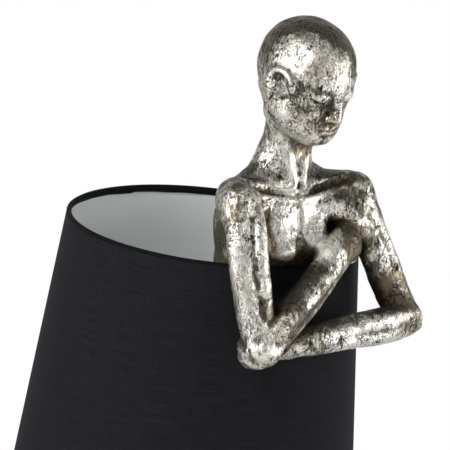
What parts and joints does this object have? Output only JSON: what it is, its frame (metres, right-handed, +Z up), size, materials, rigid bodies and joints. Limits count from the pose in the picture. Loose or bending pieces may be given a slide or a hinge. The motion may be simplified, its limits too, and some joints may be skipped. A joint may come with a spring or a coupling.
{
  "type": "table lamp",
  "caption": "Table lamp: a standing sculpted figure folds its arms over the rim of a tilted tapered drum shade held by a rear tube on a stepped round plinth.",
  "frame": {"origin": "centre of the felt under the plinth, on the surface that the lamp stands on", "axes": "+Z up, -Y towards the figure's front, +X towards the figure's left"},
  "size_m": [0.257, 0.3165, 0.7757],
  "materials": {
    "silver_leaf": "antique silver leaf over cast resin",
    "felt": "black felt",
    "zinc_steel": "zinc plated",
    "cast_iron": "bare sand casting",
    "nickel": "antique nickel",
    "black_rubber": "matt",
    "black_plastic": "satin phenolic",
    "brass": "plain",
    "porcelain": "glazed white",
    "black_fabric": "fine plain weave",
    "silver_liner": "silver grey, matt",
    "white_wire": "white lacquer",
    "clear_glass": "clear",
    "bulb_nickel": "bright nickel",
    "black_glass": "vitrite insulator",
    "filament": "phosphor coated"
  },
  "bodies": {
    "stand": {"felt_pad": "felt", "plinth": "silver_leaf", "bottom_plate": "zinc_steel", "plate_screws": "zinc_steel", "ballast_disc": "cast_iron", "cord_gland": "black_rubber", "gland_nut": "black_plastic", "lamp_tube": "nickel", "tube_rosette": "nickel", "tube_washer": "zinc_steel", "tube_nut": "zinc_steel", "figure_legs": "silver_leaf", "figure_torso": "silver_leaf", "waist_dowel": "zinc_steel", "foot_inserts": "brass", "figure_screws": "zinc_steel", "figure_washers": "zinc_steel", "holder_cap": "black_plastic", "holder_body": "black_plastic", "holder_core": "porcelain", "terminal_screws": "brass", "threaded_shell": "brass", "centre_contact": "brass", "side_contact": "brass", "switch_bushing": "black_plastic"},
    "shade": {"shade_cover": "black_fabric", "shade_liner": "silver_liner", "top_hem": "black_fabric", "bottom_hem": "black_fabric", "top_wire": "white_wire", "spider_frame": "white_wire"},
    "collar_ring": {"collar_ring": "black_plastic"},
    "bulb": {"bulb_glass": "clear_glass", "bulb_cap": "bulb_nickel", "bulb_insulator": "black_glass", "bulb_contact": "brass", "bulb_stem": "clear_glass", "bulb_filaments": "filament"},
    "switch": {"switch_knob": "black_plastic", "switch_shaft": "brass"}
  },
  "joints": [
    {"name": "shade_turn", "type": "hinge", "parent": "stand", "child": "shade", "pos_m": [0, 0.06113, 0.38048], "axis": [0, -0.1942, 0.981], "range_deg": [-18, 18]},
    {"name": "collar_ring_turn", "type": "hinge", "parent": "stand", "child": "collar_ring", "pos_m": [0, 0.05997, 0.38636], "axis": [0, -0.1942, 0.981], "continuous": true},
    {"name": "bulb_turn", "type": "hinge", "parent": "stand", "child": "bulb", "pos_m": [0, 0.06158, 0.37822], "axis": [0, -0.1942, 0.981], "continuous": true},
    {"name": "switch_knob_turn", "type": "hinge", "parent": "stand", "child": "switch", "pos_m": [0, 0.09446, 0.36659], "axis": [0, 0.981, 0.1942], "continuous": true}
  ]
}
